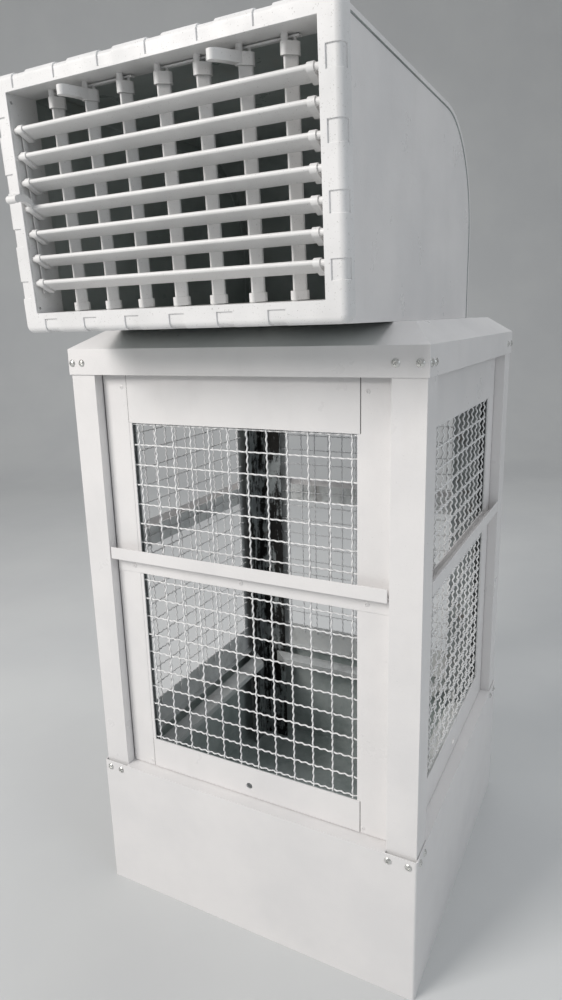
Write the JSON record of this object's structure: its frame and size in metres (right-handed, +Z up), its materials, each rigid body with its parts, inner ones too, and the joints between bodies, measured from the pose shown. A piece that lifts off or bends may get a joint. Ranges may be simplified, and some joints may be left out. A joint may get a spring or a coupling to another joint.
{
  "type": "evaporative cooler",
  "caption": "Free-standing evaporative cooler: a water tank with lift-out mesh panels, a hipped lid and a forward hood with a two-way louvre grille.",
  "frame": {"origin": "centre of the tank's underside, on the floor", "axes": "+Z up, front and louvre grille towards -Y, +X to the right seen from behind the front panel's face"},
  "size_m": [0.4643, 0.5901, 1.0274],
  "materials": {
    "white_paint": "satin powder coat with a fine orange peel",
    "wire_coating": "satin powder coat on wire",
    "galvanised": "dull galvanised sheet",
    "louvre_plastic": "matt moulded plastic",
    "fasteners": "painted steel screws and rivets",
    "motor_enamel": "semi-gloss enamel",
    "fan_plastic": "matt moulded plastic",
    "pump_plastic": "matt moulded plastic",
    "pipe_plastic": "smooth drip pipe",
    "valve_brass": "dull brass",
    "float_plastic": "moulded float",
    "black_rubber": "matt rubber"
  },
  "bodies": {
    "cabinet": {"tank": "white_paint", "post_front_left": "white_paint", "post_front_right": "white_paint", "post_rear_left": "white_paint", "post_rear_right": "white_paint", "lid": "white_paint", "hood_wrap": "white_paint", "hood_side_left": "white_paint", "hood_side_right": "white_paint", "hood_floor": "white_paint", "corner_channels": "galvanised", "pad_ledges": "galvanised", "throat_ring": "galvanised", "motor_bracket": "galvanised", "grille_bezel": "louvre_plastic", "grille_sleeve": "louvre_plastic", "lid_screws": "fasteners", "tank_screws": "fasteners", "fan_motor": "motor_enamel", "pump": "pump_plastic", "water_pipe": "pipe_plastic", "float_valve": "valve_brass", "cable_gland": "black_rubber"},
    "front_panel": {"front_panel_frame": "white_paint", "front_panel_mesh": "wire_coating", "front_panel_handle": "white_paint", "front_panel_rivets": "fasteners"},
    "right_panel": {"right_panel_frame": "white_paint", "right_panel_mesh": "wire_coating", "right_panel_handle": "white_paint", "right_panel_rivets": "fasteners"},
    "rear_panel": {"rear_panel_frame": "white_paint", "rear_panel_mesh": "wire_coating", "rear_panel_handle": "white_paint", "rear_panel_rivets": "fasteners"},
    "left_panel": {"left_panel_frame": "white_paint", "left_panel_mesh": "wire_coating", "left_panel_handle": "white_paint", "left_panel_rivets": "fasteners"},
    "row_1": {"row_blade_1": "louvre_plastic"},
    "column_1": {"column_blade_1": "louvre_plastic"},
    "row_2": {"row_blade_2": "louvre_plastic"},
    "column_2": {"column_blade_2": "louvre_plastic"},
    "row_3": {"row_blade_3": "louvre_plastic"},
    "column_3": {"column_blade_3": "louvre_plastic"},
    "row_4": {"row_blade_4": "louvre_plastic"},
    "column_4": {"column_blade_4": "louvre_plastic"},
    "row_5": {"row_blade_5": "louvre_plastic"},
    "column_5": {"column_blade_5": "louvre_plastic"},
    "row_6": {"row_blade_6": "louvre_plastic"},
    "column_6": {"column_blade_6": "louvre_plastic"},
    "row_7": {"row_blade_7": "louvre_plastic"},
    "column_7": {"column_blade_7": "louvre_plastic"},
    "row_link": {"row_link_bar": "louvre_plastic"},
    "column_link_l": {"column_link_left": "louvre_plastic"},
    "column_link_r": {"column_link_right": "louvre_plastic"},
    "fan": {"fan_wheel": "fan_plastic"},
    "float": {"float_arm": "float_plastic"},
    "plug": {"drain_plug": "black_rubber"}
  },
  "joints": [
    {"name": "row_1_tilt", "type": "hinge", "parent": "cabinet", "child": "row_1", "pos_m": [0, -0.33111, 0.9776], "axis": [1, 0, 0], "range_deg": [-15, 75]},
    {"name": "row_2_tilt", "type": "hinge", "parent": "cabinet", "child": "row_2", "pos_m": [0, -0.32985, 0.95364], "axis": [1, 0, 0], "range_deg": [-15, 75]},
    {"name": "row_3_tilt", "type": "hinge", "parent": "cabinet", "child": "row_3", "pos_m": [0, -0.3286, 0.92967], "axis": [1, 0, 0], "range_deg": [-15, 75]},
    {"name": "row_4_tilt", "type": "hinge", "parent": "cabinet", "child": "row_4", "pos_m": [0, -0.32734, 0.9057], "axis": [1, 0, 0], "range_deg": [-15, 75]},
    {"name": "row_5_tilt", "type": "hinge", "parent": "cabinet", "child": "row_5", "pos_m": [0, -0.32609, 0.88173], "axis": [1, 0, 0], "range_deg": [-15, 75]},
    {"name": "row_6_tilt", "type": "hinge", "parent": "cabinet", "child": "row_6", "pos_m": [0, -0.32483, 0.85777], "axis": [1, 0, 0], "range_deg": [-15, 75]},
    {"name": "row_7_tilt", "type": "hinge", "parent": "cabinet", "child": "row_7", "pos_m": [0, -0.32357, 0.8338], "axis": [1, 0, 0], "range_deg": [-15, 75]},
    {"name": "row_link_swing", "type": "hinge", "parent": "row_4", "child": "row_link", "pos_m": [-0.1611, -0.31955, 0.9012], "axis": [1, 0, 0], "range_deg": [-75, 15]},
    {"name": "column_1_turn", "type": "hinge", "parent": "cabinet", "child": "column_1", "pos_m": [-0.1257, -0.31166, 0.90462], "axis": [0, -0.0523, 0.9986], "range_deg": [-21, 69]},
    {"name": "column_2_turn", "type": "hinge", "parent": "cabinet", "child": "column_2", "pos_m": [-0.0838, -0.31166, 0.90462], "axis": [0, -0.0523, 0.9986], "range_deg": [-21, 69]},
    {"name": "column_3_turn", "type": "hinge", "parent": "cabinet", "child": "column_3", "pos_m": [-0.0419, -0.31166, 0.90462], "axis": [0, -0.0523, 0.9986], "range_deg": [-21, 69]},
    {"name": "column_4_turn", "type": "hinge", "parent": "cabinet", "child": "column_4", "pos_m": [0, -0.31166, 0.90462], "axis": [0, -0.0523, 0.9986], "range_deg": [-4, 86]},
    {"name": "column_5_turn", "type": "hinge", "parent": "cabinet", "child": "column_5", "pos_m": [0.0419, -0.31166, 0.90462], "axis": [0, -0.0523, 0.9986], "range_deg": [-4, 86]},
    {"name": "column_6_turn", "type": "hinge", "parent": "cabinet", "child": "column_6", "pos_m": [0.0838, -0.31166, 0.90462], "axis": [0, -0.0523, 0.9986], "range_deg": [-4, 86]},
    {"name": "column_7_turn", "type": "hinge", "parent": "cabinet", "child": "column_7", "pos_m": [0.1257, -0.31166, 0.90462], "axis": [0, -0.0523, 0.9986], "range_deg": [-4, 86]},
    {"name": "column_link_l_swing", "type": "hinge", "parent": "column_2", "child": "column_link_l", "pos_m": [-0.08014, -0.3089, 1.00891], "axis": [0, -0.0523, 0.9986], "range_deg": [-69, 21]},
    {"name": "column_link_r_swing", "type": "hinge", "parent": "column_6", "child": "column_link_r", "pos_m": [0.0897, -0.31032, 1.00883], "axis": [0, -0.0523, 0.9986], "range_deg": [-86, 4]},
    {"name": "front_panel_lift", "type": "hinge", "parent": "cabinet", "child": "front_panel", "pos_m": [0, -0.199, 0.746], "axis": [-1, 0, 0], "range_deg": [0, 30]},
    {"name": "right_panel_lift", "type": "hinge", "parent": "cabinet", "child": "right_panel", "pos_m": [0.199, 0, 0.746], "axis": [0, -1, 0], "range_deg": [0, 30]},
    {"name": "rear_panel_lift", "type": "hinge", "parent": "cabinet", "child": "rear_panel", "pos_m": [0, 0.199, 0.746], "axis": [1, 0, 0], "range_deg": [0, 30]},
    {"name": "left_panel_lift", "type": "hinge", "parent": "cabinet", "child": "left_panel", "pos_m": [-0.199, 0, 0.746], "axis": [0, 1, 0], "range_deg": [0, 30]},
    {"name": "fan_spin", "type": "hinge", "parent": "cabinet", "child": "fan", "pos_m": [0, -0.015, 0.73], "axis": [0, 0, 1], "continuous": true},
    {"name": "float_rise", "type": "hinge", "parent": "cabinet", "child": "float", "pos_m": [-0.203, -0.142, 0.146], "axis": [0, -1, 0], "range_deg": [0, 25]},
    {"name": "plug_pull", "type": "slide", "parent": "cabinet", "child": "plug", "axis": [0, 1, 0], "range_m": [0, 0.02]}
  ],
  "couplings": [
    {"joint": "row_1_tilt", "follows": "row_4_tilt", "ratio": 1},
    {"joint": "row_2_tilt", "follows": "row_4_tilt", "ratio": 1},
    {"joint": "row_3_tilt", "follows": "row_4_tilt", "ratio": 1},
    {"joint": "row_5_tilt", "follows": "row_4_tilt", "ratio": 1},
    {"joint": "row_6_tilt", "follows": "row_4_tilt", "ratio": 1},
    {"joint": "row_7_tilt", "follows": "row_4_tilt", "ratio": 1},
    {"joint": "row_link_swing", "follows": "row_4_tilt", "ratio": -1},
    {"joint": "column_1_turn", "follows": "column_2_turn", "ratio": 1},
    {"joint": "column_3_turn", "follows": "column_2_turn", "ratio": 1},
    {"joint": "column_4_turn", "follows": "column_6_turn", "ratio": 1},
    {"joint": "column_5_turn", "follows": "column_6_turn", "ratio": 1},
    {"joint": "column_7_turn", "follows": "column_6_turn", "ratio": 1},
    {"joint": "column_link_l_swing", "follows": "column_2_turn", "ratio": -1},
    {"joint": "column_link_r_swing", "follows": "column_6_turn", "ratio": -1}
  ]
}
